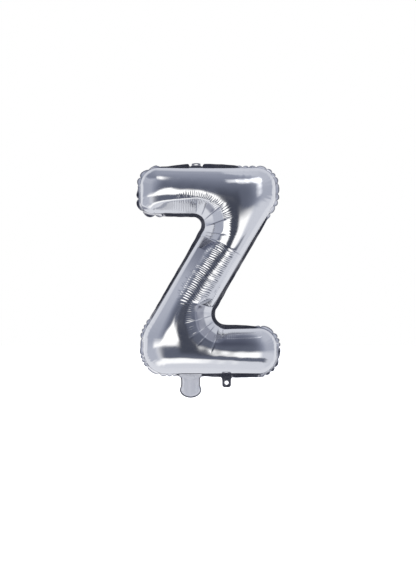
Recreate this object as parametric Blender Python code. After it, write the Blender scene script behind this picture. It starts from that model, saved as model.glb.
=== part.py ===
"""Letter Z foil balloon, 35 cm class, inflated. Metres, +Z up, front towards -Y.
The origin is the hanging point: the middle of the top tab's fold line, in the plane of the seam.
The plan below is drawn in mm from the middle of the letter, x to the right and z up.

Two metallised film sheets, front and back, bulge out of one flat heat-sealed rim that follows the outline of the letter.
A filling tail and two hanging tabs are cut from the same film and fold at their roots.
"""

import math

import bpy
import bmesh
import numpy as np
from mathutils import Matrix, Vector

MM = 0.001

# Outline of the inflated letter along the seam, in mm
TOP = 154.7  # seam of the top bar's upper edge, above the middle
BOTTOM = -154.7
BAR = 69.0  # height of each bar, seam to seam
LEAN = math.radians(59.4)  # the diagonal's slope
STROKE = 71.5  # width of the diagonal, seam to seam
END_LEFT = -101.5  # left end of the top bar
END_RIGHT = 103.2  # right end of the bottom bar
SHOULDER = 101.7  # right side of the top right corner, and mirrored for the bottom left one
WALL = 1.0  # thickness given to a film sheet
RIM_THICK = 0.8  # both films fused together
GAP = 0.3  # clearance between pieces that touch
FULLNESS = 0.92  # depth of the inflated tube against its width
RIM_WIDTH = 4.8  # the flat sealed border outside the seam
TAB_WIDTH, TAB_LENGTH, TAB_HOLE_R = 14.0, 15.0, 3.2  # hanging tab: width, fold to tip, hole radius
TAB_HOLE = 8.0  # fold to the middle of the hole
TOP_FOLD = 1.6  # seam to the fold line of the top tab, inside a notch in the border
TOP_TAB_X, BOTTOM_TAB_X, TAIL_X = -17.9, 27.9, -26.1
TOP_TAB_REST = math.radians(68)  # the top tab lies folded back
TAIL_NECK, TAIL_BULB, TAIL_LENGTH = 28.5, 32.5, 30.6
FILM, VALVE_FILM = 0.5, 0.3  # thickness given to each film of the tail, and to the valve between them
ROOT, TAIL_ROOT = 0.8, 1.3  # fold line to where a tab or the tail starts, so that they turn clear of the border

ORIGIN = np.array([TOP_TAB_X, TOP + TOP_FOLD])  # the plan's point that becomes the world's origin

DIAG = np.array([-math.cos(LEAN), -math.sin(LEAN)])  # down the diagonal
ACROSS = np.array([math.sin(LEAN), -math.cos(LEAN)])  # across it, to the lower right
CENTRE = np.array([-1.2, 0.0])  # middle of the diagonal's axis
SIDE_A = CENTRE + ACROSS * STROKE / 2  # a point on its right seam
SIDE_B = CENTRE - ACROSS * STROKE / 2  # a point on its left seam


def on_side(p, x=None, z=None):
    """Where a side of the diagonal meets the upright line x or the level line z."""
    k = (x - p[0]) / DIAG[0] if z is None else (z - p[1]) / DIAG[1]
    return tuple(p + DIAG * k)


# Corners of each long side of the letter's ribbon: point, radius. Side A is above and to the right, side B below and to the left.
CORNERS_A = [
    ((END_LEFT, TOP), 27.0),
    ((SHOULDER, TOP), 28.5),
    (on_side(SIDE_A, x=SHOULDER), 36.0),
    (on_side(SIDE_A, z=BOTTOM + BAR), 21.0),
    ((END_RIGHT, BOTTOM + BAR), 28.0),
]
CORNERS_B = [
    ((END_LEFT, TOP - BAR), 18.0),
    (on_side(SIDE_B, z=TOP - BAR), 17.2),
    (on_side(SIDE_B, x=-SHOULDER + 4.6), 36.0),
    ((-SHOULDER + 4.6, BOTTOM), 35.0),
    ((END_RIGHT, BOTTOM), 29.0),
]


def rounded(corners, before, after, steps=24):
    """The line through corners with each one rounded, from the middle of the first rounding to the middle of the last.
    Returns the points and, for each corner, its arc's (centre, start, end)."""
    line = [before, *[c for c, _ in corners], after]
    points, arcs = [], []
    for i, (corner, r) in enumerate(corners):
        a, c, b = (np.array(line[i + k], float) for k in (0, 1, 2))
        u, v = (a - c) / np.linalg.norm(a - c), (b - c) / np.linalg.norm(b - c)
        half = math.acos(np.clip(u @ v, -1, 1)) / 2
        middle = c + (u + v) / np.linalg.norm(u + v) * r / math.sin(half)
        start, end = c + u * r / math.tan(half), c + v * r / math.tan(half)
        first = math.atan2(*(start - middle)[::-1])
        turn = (math.atan2(*(end - middle)[::-1]) - first + math.pi) % math.tau - math.pi
        share = np.linspace(0, 1, steps)
        if i == 0:
            share = share[share >= 0.5 - 1e-9] if steps % 2 else np.linspace(0.5, 1, steps // 2)
        if i == len(corners) - 1:
            share = np.linspace(0, 0.5, steps // 2)
        points += [middle + r * np.array([math.cos(first + turn * k), math.sin(first + turn * k)]) for k in share]
        arcs.append((middle, start, end))
    return np.array(points), arcs


def along(points, n_or_at):
    """Points spread along a line, by count or by distances."""
    length = np.concatenate([[0], np.cumsum(np.linalg.norm(np.diff(points, axis=0), axis=1))])
    at = np.linspace(0, length[-1], n_or_at) if np.isscalar(n_or_at) else np.asarray(n_or_at)
    return np.stack([np.interp(at, length, points[:, k]) for k in (0, 1)], 1)


def distance_at(points, p):
    """How far along a line the point nearest to p is."""
    fine = along(points, 4001)
    length = np.linalg.norm(np.diff(points, axis=0), axis=1).sum()
    return length * np.argmin(np.linalg.norm(fine - np.asarray(p), axis=1)) / 4000


def seen_from(points, middle, angles):
    """Distances along a line where rays from middle at these angles meet it."""
    fine = along(points, 4001)
    length = np.linalg.norm(np.diff(points, axis=0), axis=1).sum()
    ray = np.unwrap(np.arctan2(fine[:, 1] - middle[1], fine[:, 0] - middle[0]))
    ray += math.tau * round((np.mean(angles) - ray[len(ray) // 2]) / math.tau)
    where = np.linspace(0, length, len(fine))
    near = (ray > min(angles) - 0.3) & (ray < max(angles) + 0.3)
    order = np.argsort(ray[near])
    return np.interp(angles, ray[near][order], where[near][order])


def ribbon(rows, columns):
    """The letter as a ribbon of rows that run across it, in mm. rows gives the count in each stretch:
    top bar, upper fan, diagonal, lower fan, bottom bar. Returns points[row, column, (x, z)], from side B to side A."""
    below = (END_LEFT, 0), (END_RIGHT, 0)
    a, arcs_a = rounded(CORNERS_A, below[0], (END_RIGHT, BOTTOM))
    b, arcs_b = rounded(CORNERS_B, (END_LEFT, TOP), (END_RIGHT, 0))
    inner_top, inner_low = arcs_b[1], arcs_a[3]
    at_a, at_b = [], []

    def stretch(fa, fb, n, ends=(1, 1)):
        """Adds rows between distances fa on side A and fb on side B. ends says how much closer rows get at each end."""
        v = np.linspace(0, 1, n + 1)
        if ends == (2, 1):
            v = 1 - np.cos(v * math.pi / 2)
        if ends == (1, 2):
            v = np.sin(v * math.pi / 2)
        at_a.append((fa[0] + (fa[1] - fa[0]) * v)[1 if at_a else 0 :])
        at_b.append((fb[0] + (fb[1] - fb[0]) * v)[1 if at_b else 0 :])

    def fan(inner, outer, arc, store_inner, store_outer, n):
        middle, start, end = arc
        first = math.atan2(*(start - middle)[::-1])
        turn = (math.atan2(*(end - middle)[::-1]) - first + math.pi) % math.tau - math.pi
        # rows spread half by angle and half by the outer side's length, so that the outer corner stays round
        fine = np.linspace(0, 1, 201)
        met = seen_from(outer, middle, first + turn * fine)
        even = 0.45 * fine + 0.55 * (met - met[0]) / (met[-1] - met[0])
        share = np.interp(np.linspace(0, 1, n + 1)[1:], even, fine)
        store_inner.append(distance_at(inner, start) + (distance_at(inner, end) - distance_at(inner, start)) * share)
        store_outer.append(seen_from(outer, middle, first + turn * share))

    up_a = distance_at(a, (inner_top[0][0], TOP))
    up_b = distance_at(b, inner_top[1])
    stretch((0, up_a), (0, up_b), rows[0], (2, 1))
    fan(b, a, inner_top, at_b, at_a, rows[1])
    low_a, low_b = distance_at(a, inner_low[1]), distance_at(b, inner_low[1] - ACROSS * STROKE)
    stretch((at_a[-1][-1], low_a), (at_b[-1][-1], low_b), rows[2])
    fan(a, b, inner_low, at_a, at_b, rows[3])
    end_a = np.linalg.norm(np.diff(a, axis=0), axis=1).sum()
    end_b = np.linalg.norm(np.diff(b, axis=0), axis=1).sum()
    stretch((at_a[-1][-1], end_a), (at_b[-1][-1], end_b), rows[4], (1, 2))
    pa, pb = along(a, np.concatenate(at_a)), along(b, np.concatenate(at_b))
    t = (1 - np.cos(np.linspace(0, math.pi, columns + 1))) / 2
    grid = pb[:, None] * (1 - t[:, None]) + pa[:, None] * t[:, None]
    # the two ends: rows bow out to the rounded end of the bar
    for first, x, sign in ((0, END_LEFT, 1), (len(grid) - 1, END_RIGHT, -1)):
        corner = [p for p in (b, a)]
        low, high = (c[0] if first == 0 else c[-1] for c in corner)
        z = grid[first, :, 1]
        r_low, r_high = (CORNERS_B[0][1], CORNERS_A[0][1]) if first == 0 else (CORNERS_B[-1][1], CORNERS_A[-1][1])
        z0, z1 = (TOP - BAR, TOP) if first == 0 else (BOTTOM, BOTTOM + BAR)
        into = np.where(z < z0 + r_low, z0 + r_low - z, np.where(z > z1 - r_high, z - (z1 - r_high), 0))
        r = np.where(z < (z0 + z1) / 2, r_low, r_high)
        edge_x = x + sign * (r - np.sqrt(np.maximum(r**2 - into**2, 0)))
        bow = edge_x - grid[first, :, 0]
        for i in range(len(grid)):
            far = abs(grid[i, columns // 2, 0] - grid[first, columns // 2, 0])
            if (first == 0) == (i < len(grid) / 2) and far < 60:
                grid[i, :, 0] += bow * (1 - far / 60) ** 2 if i != first else 0
        grid[first, :, 0] += bow
    return grid


def inflated(grid):
    """Height of the inflated film over each point of the ribbon, in mm. Its square solves a membrane under
    even pressure that is held at the seam, which makes a straight stroke's section a round tube."""
    n, m = grid.shape[:2]
    index = np.arange(n * m).reshape(n, m)
    quads = index[:-1, :-1], index[1:, :-1], index[1:, 1:], index[:-1, 1:]
    faces = np.concatenate([np.stack([q.ravel() for q in (quads[i], quads[j], quads[k])], 1) for i, j, k in ((0, 1, 2), (0, 2, 3))])
    p = grid.reshape(-1, 2)
    stiff = np.zeros((n * m, n * m))
    load = np.zeros(n * m)
    corner = p[faces]
    edge = corner[:, [2, 0, 1]] - corner[:, [1, 2, 0]]
    area = np.abs(edge[:, 0, 0] * edge[:, 1, 1] - edge[:, 0, 1] * edge[:, 1, 0]) / 2
    for i in range(3):
        np.add.at(load, faces[:, i], area / 3)
        for j in range(3):
            np.add.at(stiff, (faces[:, i], faces[:, j]), (edge[:, i] * edge[:, j]).sum(1) / (4 * area))
    inside = index[1:-1, 1:-1].ravel()
    film = np.zeros(n * m)
    film[inside] = np.linalg.solve(stiff[np.ix_(inside, inside)], load[inside])
    high = FULLNESS * np.sqrt(2 * np.maximum(film, 0)).reshape(n, m)
    over = np.maximum(high - 29, 0)  # film doesn't stretch, so the wide corners stay flatter than a membrane's
    return high - 0.42 * over**2 / (over + 3)


def border(grid):
    """The ribbon's edge as one closed line, anticlockwise seen from the front."""
    return np.concatenate([grid[:-1, 0], grid[-1, :-1], grid[:0:-1, -1], grid[0, :0:-1]])


def outward(loop):
    """The direction that points out of the letter at each point of its edge."""
    run = np.roll(loop, -1, 0) - np.roll(loop, 1, 0)
    run /= np.linalg.norm(run, axis=1)[:, None]
    return np.stack([run[:, 1], -run[:, 0]], 1)


def rim_width(p, along_edge):
    """Width of the sealed border, in mm. It puckers into scallops round the ends and outer corners, and is flat and even elsewhere."""
    x, z = p
    pucker = max(
        math.exp(-(((x - END_LEFT) / 24) ** 2)) * (z > 0),
        math.exp(-(((x - SHOULDER) / 22) ** 2)) * (z > 60),
        math.exp(-(((x + SHOULDER - 4.6) / 24) ** 2)) * (z < -60),
        math.exp(-(((x - END_RIGHT) / 22) ** 2)) * (z < 0),
    )
    arch = 0.9 * math.exp(-(((x + 9) / 30) ** 2)) if z > TOP - 1 else 0
    slope = 1.0 * math.exp(-((abs(z) / 62) ** 4)) if abs(x) < 90 else 0  # narrower along the diagonal
    return RIM_WIDTH + arch - slope + pucker * (1.6 * abs(math.sin(math.pi * along_edge / 13.0)) - 0.6)


def world(x, z, y=0.0):
    """A point of the plan in metres, y towards the back."""
    return Vector(((x - ORIGIN[0]) * MM, y * MM, (z - ORIGIN[1]) * MM))


def clear():
    for obj in list(bpy.data.objects):
        bpy.data.objects.remove(obj)


def material(name, colour, roughness, metallic):
    made = bpy.data.materials.new(name)
    made.use_nodes = True
    shader = made.node_tree.nodes["Principled BSDF"]
    shader.inputs["Base Color"].default_value = (*colour, 1)
    shader.inputs["Roughness"].default_value = roughness
    shader.inputs["Metallic"].default_value = metallic
    return made


def add(name, data, mat, parent=None, at=(0, 0, 0)):
    obj = bpy.data.objects.new(name, data)
    bpy.context.scene.collection.objects.link(obj)
    obj.data.materials.append(mat)
    obj.parent = parent
    obj.location = at
    return obj


def hinge(name, at, tilt=0.0):
    """An empty on a fold line. tilt turns what hangs from it about X."""
    obj = bpy.data.objects.new(name, None)
    bpy.context.scene.collection.objects.link(obj)
    obj.location = at
    obj.rotation_euler = (tilt, 0, 0)
    return obj


def foil(name, grid, height, side, mat):
    """One film sheet, bulging towards side: -1 is the front."""
    n, m = height.shape
    bm = bmesh.new()
    base = RIM_THICK / 2 + GAP
    v = [[bm.verts.new(world(x, z, side * (base + h))) for (x, z), h in zip(row, heights)] for row, heights in zip(grid, height)]
    for i in range(n - 1):
        for j in range(m - 1):
            ring = [v[i][j], v[i + 1][j], v[i + 1][j + 1], v[i][j + 1]]
            bm.faces.new(ring if side < 0 else ring[::-1])
    mesh = bpy.data.meshes.new(name)
    bm.to_mesh(mesh)
    bm.free()
    mesh.shade_smooth()
    obj = add(name, mesh, mat)
    skin = obj.modifiers.new("film", "SOLIDIFY")
    skin.thickness = WALL * MM
    skin.offset = -1
    skin.use_even_offset = False
    return obj


def rim(name, grid, mat):
    """The flat sealed border that both sheets stand on, with a notch where the top tab folds back."""
    edge = border(grid)
    run = np.concatenate([[0], np.cumsum(np.linalg.norm(np.diff(np.vstack([edge, edge[:1]]), axis=0), axis=1))])
    total = run[-1]
    pitch = 6.5 / 2
    closed = np.vstack([edge, edge[:1]])
    # extra points where the rim puckers
    at = set(np.round(run[:-1], 3))
    for i, d in enumerate(np.arange(0, total, pitch)):
        p = [np.interp(d, run, closed[:, k]) for k in (0, 1)]
        if abs(rim_width(p, 6.5) - rim_width(p, 0)) > 0.5:
            at.add(round(d, 3))
    loop_at = sorted(at)
    keep = [loop_at[0]]
    for d in loop_at[1:]:
        if d - keep[-1] > 1.6:
            keep.append(d)
    loop = np.stack([np.interp(keep, run, closed[:, k]) for k in (0, 1)], 1)
    normal = outward(loop)
    width = np.array([rim_width(p, d) for p, d in zip(loop, keep)])
    outer = loop + normal * width[:, None]
    inner = loop - normal * 2.2
    bm = bmesh.new()
    rings = [[bm.verts.new(world(x, z)) for x, z in ring] for ring in (inner, outer)]
    count = len(loop)
    for i in range(count):
        k = (i + 1) % count
        bm.faces.new([rings[0][i], rings[1][i], rings[1][k], rings[0][k]])
    mesh = bpy.data.meshes.new(name)
    bm.to_mesh(mesh)
    bm.free()
    obj = add(name, mesh, mat)
    thick = obj.modifiers.new("fused films", "SOLIDIFY")
    thick.thickness = RIM_THICK * MM
    thick.offset = 0
    cut = bpy.data.meshes.new("top_tab_notch")
    bm = bmesh.new()
    bmesh.ops.create_cube(bm, size=1)
    low, high = TOP_FOLD - 0.9, 12.0
    size = Matrix.Diagonal(((TAB_WIDTH + 1.2) * MM, 6 * MM, (high - low) * MM, 1))
    bmesh.ops.transform(bm, matrix=Matrix.Translation(world(TOP_TAB_X, TOP + (low + high) / 2)) @ size, verts=bm.verts)
    bm.to_mesh(cut)
    bm.free()
    cutter = bpy.data.objects.new("top_tab_notch", cut)
    bpy.context.scene.collection.objects.link(cutter)
    cutter.hide_render = True
    cutter.display_type = "WIRE"
    notch = obj.modifiers.new("notch", "BOOLEAN")
    notch.operation = "DIFFERENCE"
    notch.solver = "EXACT"
    notch.object = cutter
    return obj


def plate(name, loops, thick, mat, parent, y=0.0):
    """A flat sheet cut to closed outlines in mm, x to the right and z up from the fold line. The first outline is the edge, others are holes."""
    curve = bpy.data.curves.new(name, "CURVE")
    curve.dimensions = "2D"
    curve.fill_mode = "BOTH"
    curve.extrude = thick / 2 * MM
    for loop in loops:
        spline = curve.splines.new("POLY")
        spline.points.add(len(loop) - 1)
        for point, (x, z) in zip(spline.points, loop):
            point.co = (x * MM, z * MM, 0, 1)
        spline.use_cyclic_u = True
    obj = add(name, curve, mat, parent, (0, y * MM, 0))
    obj.rotation_euler = (math.pi / 2, 0, 0)
    return obj


def arc(x, z, rx, rz, first, last, n):
    """Points on an ellipse, angles in degrees."""
    return [(x + rx * math.cos(math.radians(k)), z + rz * math.sin(math.radians(k))) for k in np.linspace(first, last, n)]


def tab_outline(up):
    """A hanging tab from its fold line: a straight strip that narrows a little to a round-cornered tip."""
    w, tip, r = TAB_WIDTH / 2, TAB_LENGTH, 4.0
    half = [(w, ROOT), (w, 2.6), (w - 0.9, 5.5)] + arc(w - 0.9 - r, tip - r, r, r, 0, 90, 6)
    edge = half + [(-x, z) for x, z in half[::-1]]
    hole = arc(0, TAB_HOLE, TAB_HOLE_R, TAB_HOLE_R, 0, 345, 24)
    return [[(x, up * z) for x, z in loop] for loop in (edge, hole)]


def tail_outline(shrink=0.0, start=TAIL_ROOT, length=TAIL_LENGTH):
    """The filling tail, hanging from its fold line: a neck that widens into a round end."""
    n, b = TAIL_NECK / 2 - shrink, TAIL_BULB / 2 - shrink
    half = [(n + 0.6, -start), (n, -3.0), (n, -12.0), (b - 0.7, -15.6)] + arc(0, -(length - 12.4), b, 12.4 - shrink, 0, -90, 8)[:-1]
    return [half + [(0, -length + shrink)] + [(-x, z) for x, z in half[::-1]]]


clear()
FOIL = material("silver_foil", (0.72, 0.74, 0.80), 0.12, 1.0)
SEAM = material("sealed_border_foil", (0.60, 0.62, 0.68), 0.2, 1.0)
TAIL = material("tail_foil", (0.70, 0.71, 0.77), 0.25, 1.0)
VALVE = material("clear_valve_film", (0.85, 0.86, 0.88), 0.3, 0.0)

# rows in each stretch: top bar, upper fan, diagonal, lower fan, bottom bar
plan = ribbon((10, 26, 6, 26, 10), 14)
bulge = inflated(plan)
foil("front_foil", plan, bulge, -1, FOIL)
foil("back_foil", plan, bulge, 1, FOIL)
rim("sealed_rim", plan, SEAM)

top_fold = hinge("top_tab_fold", world(TOP_TAB_X, TOP + TOP_FOLD), -TOP_TAB_REST)
plate("top_hanging_tab", tab_outline(1), RIM_THICK, SEAM, top_fold)
bottom_fold = hinge("bottom_tab_fold", world(BOTTOM_TAB_X, BOTTOM - RIM_WIDTH - 0.3))
plate("bottom_hanging_tab", tab_outline(-1), RIM_THICK, SEAM, bottom_fold)

tail_fold = hinge("tail_fold", world(TAIL_X, BOTTOM - RIM_WIDTH - 0.3))
# films of the tail, front to back: name, thickness, middle, inset, material
sheets = [
    ("tail_front_film", FILM, -(VALVE_FILM / 2 + GAP + FILM / 2), 0.0, TAIL),
    ("valve_film", VALVE_FILM, 0.0, 4.0, VALVE),
    ("tail_back_film", FILM, VALVE_FILM / 2 + GAP + FILM / 2, 0.0, TAIL),
]
for name, thick, y, inset, mat in sheets:
    plate(name, tail_outline(inset), thick, mat, tail_fold, y)
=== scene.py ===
"""Looks of the letter foil balloon: film skins with their creases and ripples, sealed border, tail, tabs, studio."""

import math

import bpy
import numpy as np
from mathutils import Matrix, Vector

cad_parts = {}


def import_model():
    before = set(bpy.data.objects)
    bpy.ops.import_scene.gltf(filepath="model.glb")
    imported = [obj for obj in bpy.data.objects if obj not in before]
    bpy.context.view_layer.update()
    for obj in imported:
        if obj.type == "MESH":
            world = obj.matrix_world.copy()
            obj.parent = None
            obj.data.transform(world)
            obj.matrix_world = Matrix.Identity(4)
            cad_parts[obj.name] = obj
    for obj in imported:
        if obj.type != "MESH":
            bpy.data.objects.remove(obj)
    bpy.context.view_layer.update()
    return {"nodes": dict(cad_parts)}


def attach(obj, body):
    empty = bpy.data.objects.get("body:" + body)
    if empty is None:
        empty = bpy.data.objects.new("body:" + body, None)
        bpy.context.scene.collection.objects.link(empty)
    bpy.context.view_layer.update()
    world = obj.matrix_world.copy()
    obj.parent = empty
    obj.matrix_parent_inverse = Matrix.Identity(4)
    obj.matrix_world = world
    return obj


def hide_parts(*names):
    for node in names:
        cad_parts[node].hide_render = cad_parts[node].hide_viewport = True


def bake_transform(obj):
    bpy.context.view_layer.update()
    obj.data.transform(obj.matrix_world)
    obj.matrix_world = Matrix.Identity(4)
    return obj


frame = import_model()
MM = 0.001

# ---------------------------------------------------------------- camera
# The photo's pixels map to the plan in mm: x = (px - 208) * 1.5, z = (270.8 - py) * 1.5
PX = 1.5
MIDDLE = (208.0, 270.8)
TOP_TAB_X, TOP_FOLD = -17.9, 1.6
TAIL_X, BOTTOM_TAB_X = -26.1, 27.9
TOP, BOTTOM, BAR = 154.7, -154.7, 69.0
ORIGIN = np.array([TOP_TAB_X, TOP + TOP_FOLD])
DISTANCE = 2.4


def plan(px, py):
    """A pixel of the photo as a point of the plan, in mm."""
    return np.array([(px - MIDDLE[0]) * PX, (MIDDLE[1] - py) * PX])


def world(x, z, y=0.0):
    return Vector(((x - ORIGIN[0]) * MM, y * MM, (z - ORIGIN[1]) * MM))


cam_data = bpy.data.cameras.new("camera")
camera = bpy.data.objects.new("camera", cam_data)
bpy.context.scene.collection.objects.link(camera)
camera.location = world(*plan(208.0, 281.0), -DISTANCE / MM)
camera.rotation_euler = (math.pi / 2, 0, 0)
cam_data.sensor_width = 36.0
cam_data.lens = 36.0 * DISTANCE / (562 * PX * MM)
cam_data.clip_start, cam_data.clip_end = 0.05, 60
bpy.context.scene.camera = camera

# ---------------------------------------------------------------- plan of the letter, in mm from its middle
LEAN, STROKE = math.radians(59.4), 71.5
END_LEFT, END_RIGHT, SHOULDER = -101.5, 103.2, 101.7
FULLNESS = 0.92
DIAG = np.array([-math.cos(LEAN), -math.sin(LEAN)])
ACROSS = np.array([math.sin(LEAN), -math.cos(LEAN)])
CENTRE = np.array([-1.2, 0.0])
SIDE_A = CENTRE + ACROSS * STROKE / 2
SIDE_B = CENTRE - ACROSS * STROKE / 2


def on_side(p, x=None, z=None):
    k = (x - p[0]) / DIAG[0] if z is None else (z - p[1]) / DIAG[1]
    return tuple(p + DIAG * k)


CORNERS_A = [
    ((END_LEFT, TOP), 27.0),
    ((SHOULDER, TOP), 28.5),
    (on_side(SIDE_A, x=SHOULDER), 36.0),
    (on_side(SIDE_A, z=BOTTOM + BAR), 21.0),
    ((END_RIGHT, BOTTOM + BAR), 28.0),
]
CORNERS_B = [
    ((END_LEFT, TOP - BAR), 18.0),
    (on_side(SIDE_B, z=TOP - BAR), 17.2),
    (on_side(SIDE_B, x=-SHOULDER + 4.6), 36.0),
    ((-SHOULDER + 4.6, BOTTOM), 35.0),
    ((END_RIGHT, BOTTOM), 29.0),
]


def corner_arc(a, c, b, r):
    """Middle, start, end, first angle and turn of the arc that rounds corner c of the line a-c-b."""
    a, c, b = (np.array(p, float) for p in (a, c, b))
    u, v = (a - c) / np.linalg.norm(a - c), (b - c) / np.linalg.norm(b - c)
    half = math.acos(np.clip(u @ v, -1, 1)) / 2
    m = c + (u + v) / np.linalg.norm(u + v) * r / math.sin(half)
    s, e = c + u * r / math.tan(half), c + v * r / math.tan(half)
    first = math.atan2(*(s - m)[::-1])
    turn = (math.atan2(*(e - m)[::-1]) - first + math.pi) % math.tau - math.pi
    return m, s, e, first, turn


def seam_line(step):
    """The closed seam, clockwise from the left end: points, outward directions, distances along, whole length."""
    both = CORNERS_A + CORNERS_B[::-1]
    n = len(both)
    out = []
    for i in range(n):
        m, _, _, first, turn = corner_arc(both[i - 1][0], both[i][0], both[(i + 1) % n][0], both[i][1])
        out += [m + both[i][1] * np.array([math.cos(first + turn * k), math.sin(first + turn * k)]) for k in np.linspace(0, 1, 60)]
    out = np.array(out + out[:1])
    run = np.concatenate([[0], np.cumsum(np.linalg.norm(np.diff(out, axis=0), axis=1))])
    at = np.linspace(0, run[-1], int(run[-1] / step), endpoint=False)
    pts = np.stack([np.interp(at, run, out[:, k]) for k in (0, 1)], 1)
    d = np.roll(pts, -1, 0) - np.roll(pts, 1, 0)
    d /= np.linalg.norm(d, axis=1)[:, None]
    return pts, np.stack([-d[:, 1], d[:, 0]], 1), at, run[-1]


SEAM, SEAM_OUT, SEAM_AT, LENGTH = seam_line(0.5)


def near_seam(p):
    """For plan points: distance to the seam (negative outside) and the nearest place along it."""
    dist, at = np.empty(len(p)), np.empty(len(p))
    for i in range(0, len(p), 4000):
        q = p[i : i + 4000]
        gap = ((q[:, None] - SEAM[None]) ** 2).sum(2)
        k = gap.argmin(1)
        off = q - SEAM[k]
        out = (off * SEAM_OUT[k]).sum(1)
        run = np.stack([SEAM_OUT[k][:, 1], -SEAM_OUT[k][:, 0]], 1)
        dist[i : i + 4000] = np.where(out > 0, -1, 1) * np.sqrt(gap.min(1))
        at[i : i + 4000] = SEAM_AT[k] + (off * run).sum(1)
    return dist, at % LENGTH


# Even pressure on a membrane held at the seam: phi = -|p|^2/4 + sum of logs from sources outside the seam
_points, _out, _, _ = seam_line(1.5)
SOURCES = (_points + _out * 9.0)[::4]
_a = np.hstack([np.log(np.linalg.norm(_points[:, None] - SOURCES[None], axis=2)), np.full((len(_points), 1), 5.0)])
WEIGHTS = np.linalg.lstsq(_a, (_points**2).sum(1) / 4, rcond=1e-9)[0]


def even_bulge(p):
    """Height of an evenly inflated film above plan points, in mm."""
    out = np.empty(len(p))
    for i in range(0, len(p), 8000):
        q = p[i : i + 8000]
        out[i : i + 8000] = 0.5 * np.log(((q[:, None] - SOURCES[None]) ** 2).sum(2)) @ WEIGHTS[:-1] + 5.0 * WEIGHTS[-1] - (q**2).sum(1) / 4
    h = FULLNESS * np.sqrt(2 * np.maximum(out, 0))
    return h - 1.6 * np.log1p(np.exp((h - 32) / 4)) + 1.6 * math.log1p(math.exp(-8))


FAN_HIGH = corner_arc(CORNERS_B[0][0], CORNERS_B[1][0], CORNERS_B[2][0], CORNERS_B[1][1])[0]
FAN_LOW = corner_arc(CORNERS_A[2][0], CORNERS_A[3][0], CORNERS_A[4][0], CORNERS_A[3][1])[0]

# Round each inner corner the ridge sits further out than on an evenly inflated film:
# corner, middle of the shifted stretch in the photo's pixels, its size in mm, shift in mm
SHIFTS = [(FAN_HIGH, (230, 238), 38.0, 7.0), (FAN_LOW, (186, 322), 30.0, 5.0)]


# Round each inner corner the film is pulled into flat facets: corner, radius of the seam, directions from the corner where
# the seam's arc starts and ends, angles in degrees from the stroke's bend where the facets are full and gone on the bar's side, the crease they
# start from on the diagonal's side in the photo's pixels, how far along the diagonal the film comes up again in mm, and
# the facets' profile as (distance from the seam, height, slope)
TIGHT = [
    (FAN_HIGH, 17.2, (ACROSS, np.array([0.0, 1.0])), (20, 52), ((205.3, 237.6), (239.0, 254.5)), 18.0, [(0, 0.8, 1.42), (15.5, 22.8, 0.95)]),
    (FAN_LOW, 21.0, (-ACROSS, np.array([0.0, -1.0])), (50, 80), ((210.5, 306.8), (189.5, 301.6)), 12.0, [(0, 0.8, 1.40)]),
]


def inner_distance(p, which):
    """Distance in mm from the seam on the inner corner's side of the stroke."""
    corner, radius, (one, two), *_ = TIGHT[which]
    off = p - corner
    turn = (-1 if which == 0 else 1) * math.pi / 2
    past_one = (off @ np.array([one[0] * math.cos(turn) - one[1] * math.sin(turn), one[0] * math.sin(turn) + one[1] * math.cos(turn)])) * (1 if which == 0 else -1)
    past_two = off[:, 0] * (-1 if which == 0 else 1)
    out = np.linalg.norm(off, axis=1)
    out = np.where(past_one > 0, off @ one, out)
    out = np.where((past_two > 0) & (off[:, 1] * (1 if which == 0 else -1) > 0), off @ two, out)
    return out - radius


def tightness(p, which, first):
    """1 on the facets of one inner corner, 0 away from it. The first zone of the upper fan's facets runs on along the bar."""
    corner, _, _, (full, none), (a, b), reach, _ = TIGHT[which]
    off = p - corner
    r = np.linalg.norm(off, axis=1)
    side = off[:, 0] * (1 if which == 0 else -1)
    if first and which == 0:
        low, high = -70, -25
    else:
        low, high = r * math.cos(math.radians(none)) - 22 * which * np.exp(-(r - 21) / 14), r * math.cos(math.radians(full))
    bar = smooth(0, 1, (side - low) / np.maximum(high - low, 1))
    bar = np.where(off[:, 1] * (1 if which == 0 else -1) < 0, 1, bar)
    past = past_crease(p, which)
    diagonal = np.clip(1 - past / reach, 0, 1)
    near = 1 - smooth(60, 80, r)
    return np.where(past > 0, diagonal, bar) * near


def past_crease(p, which):
    """Distance in mm along the diagonal, away from a fan, from the fold line that ends its facets."""
    a, b = plan(*TIGHT[which][4][0]), plan(*TIGHT[which][4][1])
    run = (b - a) / np.linalg.norm(b - a)
    return (p - a) @ np.array([run[1], -run[0]])


def bulge(p):
    """Height of the film above plan points, in mm."""
    full = (even_bulge(p) / 31.0) ** 2
    moved = p.copy()
    for corner, middle, size, shift in SHIFTS:
        away = p - corner
        away /= np.maximum(np.linalg.norm(away, axis=1), 1e-6)[:, None]
        near = np.exp(-((p - plan(*middle)) ** 2).sum(1) / (2 * size**2))
        moved -= away * (shift * near * np.minimum(full, 1.2))[:, None]
    h = even_bulge(moved)
    out = h.copy()
    for which in (0, 1):
        dist = np.maximum(inner_distance(p, which), 0)
        lines = np.stack([h] + [high + slope * (dist - start) for start, high, slope in TIGHT[which][6]])
        left = h
        for i in range(1, len(lines)):
            some = lines[: i + 1]
            flat = np.minimum(-0.35 * np.log(np.exp(-(some - some.min(0)) / 0.35).sum(0)) + some.min(0), left)
            out -= tightness(p, which, i == 1) * (left - flat)
            left = flat
    past = past_crease(p, 0)
    out -= 1.0 * np.exp(-(((inner_distance(p, 0) - 16) / 6.0) ** 2)) * np.clip(1 - past / 18, 0, 1) * smooth(-1.2, 0, past)
    return out


# ---------------------------------------------------------------- small helpers for folds
def smooth(a, b, x):
    k = np.clip((x - a) / (b - a), 0, 1)
    return k * k * (3 - 2 * k)


def band_of(x, low, high, soft):
    """1 between two values, 0 outside, with soft ends."""
    return smooth(low - soft, low + soft, x) * (1 - smooth(high - soft, high + soft, x))


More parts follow.
